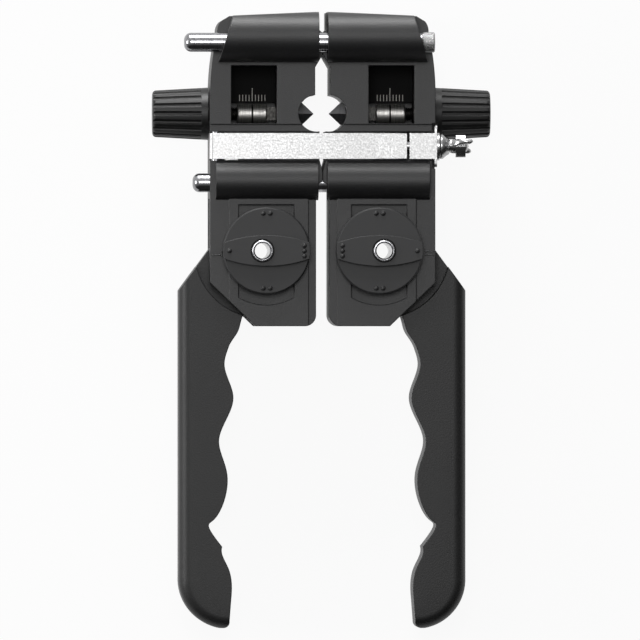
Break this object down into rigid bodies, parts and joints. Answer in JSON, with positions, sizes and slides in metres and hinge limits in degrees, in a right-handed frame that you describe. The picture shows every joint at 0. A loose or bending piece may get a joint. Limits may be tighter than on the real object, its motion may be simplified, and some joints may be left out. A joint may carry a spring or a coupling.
{
  "type": "fibre optic cable stripper",
  "caption": "Two-handled cable sheath slitter: jaws sliding on guide rods, screw-fed blades, eccentric dials and a clamp strap.",
  "frame": {"origin": "centre of the box on the plane that the tool's back rests on", "axes": "+Z out of the front, along the cable; +Y from the handles to the jaws; +X to the right half"},
  "size_m": [0.1064, 0.1936, 0.0418],
  "materials": {
    "body_nylon": "black glass-filled nylon, fine spark-eroded grain",
    "handle_nylon": "black glass-filled nylon, fine spark-eroded grain",
    "knob_nylon": "black moulded nylon, satin",
    "dial_nylon": "dark grey-black moulded nylon, smooth matt",
    "scale_black": "matt black with white filled ticks",
    "ground_steel": "ground tool steel",
    "turned_steel": "turned steel, fine rings",
    "polished_steel": "ground and polished steel",
    "plated_steel": "bright nickel plate",
    "satin_stainless": "satin stainless strip, finely mottled",
    "bronze": "sintered bronze"
  },
  "bodies": {
    "right_half": {"jaw_body_right": "body_nylon", "fork_right": "body_nylon", "lower_rod_block_right": "body_nylon", "strap_bridge_right": "body_nylon", "upper_rod_block_right": "body_nylon", "scale_plate_right": "scale_black", "hollow_axle_right": "plated_steel", "axle_ring_right": "plated_steel", "detent_plunger_right": "turned_steel", "upper_guide_rod": "polished_steel", "rod_head": "plated_steel", "lower_guide_rod": "polished_steel"},
    "left_half": {"jaw_body_left": "body_nylon", "fork_left": "body_nylon", "lower_rod_block_left": "body_nylon", "strap_bridge_left": "body_nylon", "upper_rod_block_left": "body_nylon", "scale_plate_left": "scale_black", "hollow_axle_left": "plated_steel", "axle_ring_left": "plated_steel", "detent_plunger_left": "turned_steel", "upper_bush": "bronze", "lower_bush": "bronze", "strap_hinge_pin": "polished_steel"},
    "blade_slide_right": {"blade_right": "ground_steel", "blade_carrier_right": "turned_steel"},
    "blade_slide_left": {"blade_left": "ground_steel", "blade_carrier_left": "turned_steel"},
    "knob_right": {"feed_screw_right": "turned_steel", "depth_knob_right": "knob_nylon"},
    "knob_left": {"feed_screw_left": "turned_steel", "depth_knob_left": "knob_nylon"},
    "dial_right": {"eccentric_dial_right": "dial_nylon"},
    "dial_left": {"eccentric_dial_left": "dial_nylon"},
    "grip_right": {"handle_right": "handle_nylon"},
    "grip_left": {"handle_left": "handle_nylon"},
    "clamp_strap": {"strap": "satin_stainless", "t_bolt": "plated_steel", "angle_bracket": "satin_stainless", "end_nut": "plated_steel"},
    "clamp_washer": {"washer": "plated_steel"},
    "clamp_wing_nut": {"wing_nut": "plated_steel"}
  },
  "joints": [
    {"name": "jaw_open", "type": "slide", "parent": "right_half", "child": "left_half", "axis": [-1, 0, 0], "range_m": [0, 0.012]},
    {"name": "strap_swing", "type": "hinge", "parent": "left_half", "child": "clamp_strap", "pos_m": [-0.0334, 0.0547, 0.025], "axis": [0, -1, 0], "range_deg": [0, 110.1]},
    {"name": "knob_turn_right", "type": "hinge", "parent": "right_half", "child": "knob_right", "pos_m": [0.0354, 0.065, 0.0135], "axis": [1, 0, 0], "range_deg": [-2057.2, 1028.6]},
    {"name": "knob_turn_left", "type": "hinge", "parent": "left_half", "child": "knob_left", "pos_m": [-0.0354, 0.065, 0.0135], "axis": [-1, 0, 0], "range_deg": [-2057.2, 1028.6]},
    {"name": "blade_feed_right", "type": "slide", "parent": "right_half", "child": "blade_slide_right", "axis": [-1, 0, 0], "range_m": [-0.004, 0.002]},
    {"name": "blade_feed_left", "type": "slide", "parent": "left_half", "child": "blade_slide_left", "axis": [1, 0, 0], "range_m": [-0.004, 0.002]},
    {"name": "dial_turn_right", "type": "hinge", "parent": "right_half", "child": "dial_right", "pos_m": [0.01911, 0.0218, 0.03], "axis": [0, 0, 1], "continuous": true},
    {"name": "dial_turn_left", "type": "hinge", "parent": "left_half", "child": "dial_left", "pos_m": [-0.01911, 0.0218, 0.03], "axis": [0, 0, -1], "continuous": true},
    {"name": "handle_swing_right", "type": "hinge", "parent": "right_half", "child": "grip_right", "pos_m": [0.01911, 0.0218, 0.015], "axis": [0, 0, 1], "range_deg": [0, 40]},
    {"name": "handle_swing_left", "type": "hinge", "parent": "left_half", "child": "grip_left", "pos_m": [-0.01911, 0.0218, 0.015], "axis": [0, 0, -1], "range_deg": [0, 40]},
    {"name": "washer_travel", "type": "slide", "parent": "clamp_strap", "child": "clamp_washer", "axis": [1, 0, 0], "range_m": [0, 0.0012]},
    {"name": "wing_nut_turn", "type": "hinge", "parent": "clamp_washer", "child": "clamp_wing_nut", "pos_m": [0.038, 0.0547, 0.0271], "axis": [-1, 0, 0], "range_deg": [0, 620]}
  ],
  "couplings": [
    {"joint": "strap_swing", "follows": "jaw_open", "rad_per_m": 160},
    {"joint": "knob_turn_right", "follows": "blade_feed_right", "rad_per_m": 8976},
    {"joint": "knob_turn_left", "follows": "blade_feed_left", "rad_per_m": 8976},
    {"joint": "wing_nut_turn", "follows": "washer_travel", "rad_per_m": 8976}
  ]
}
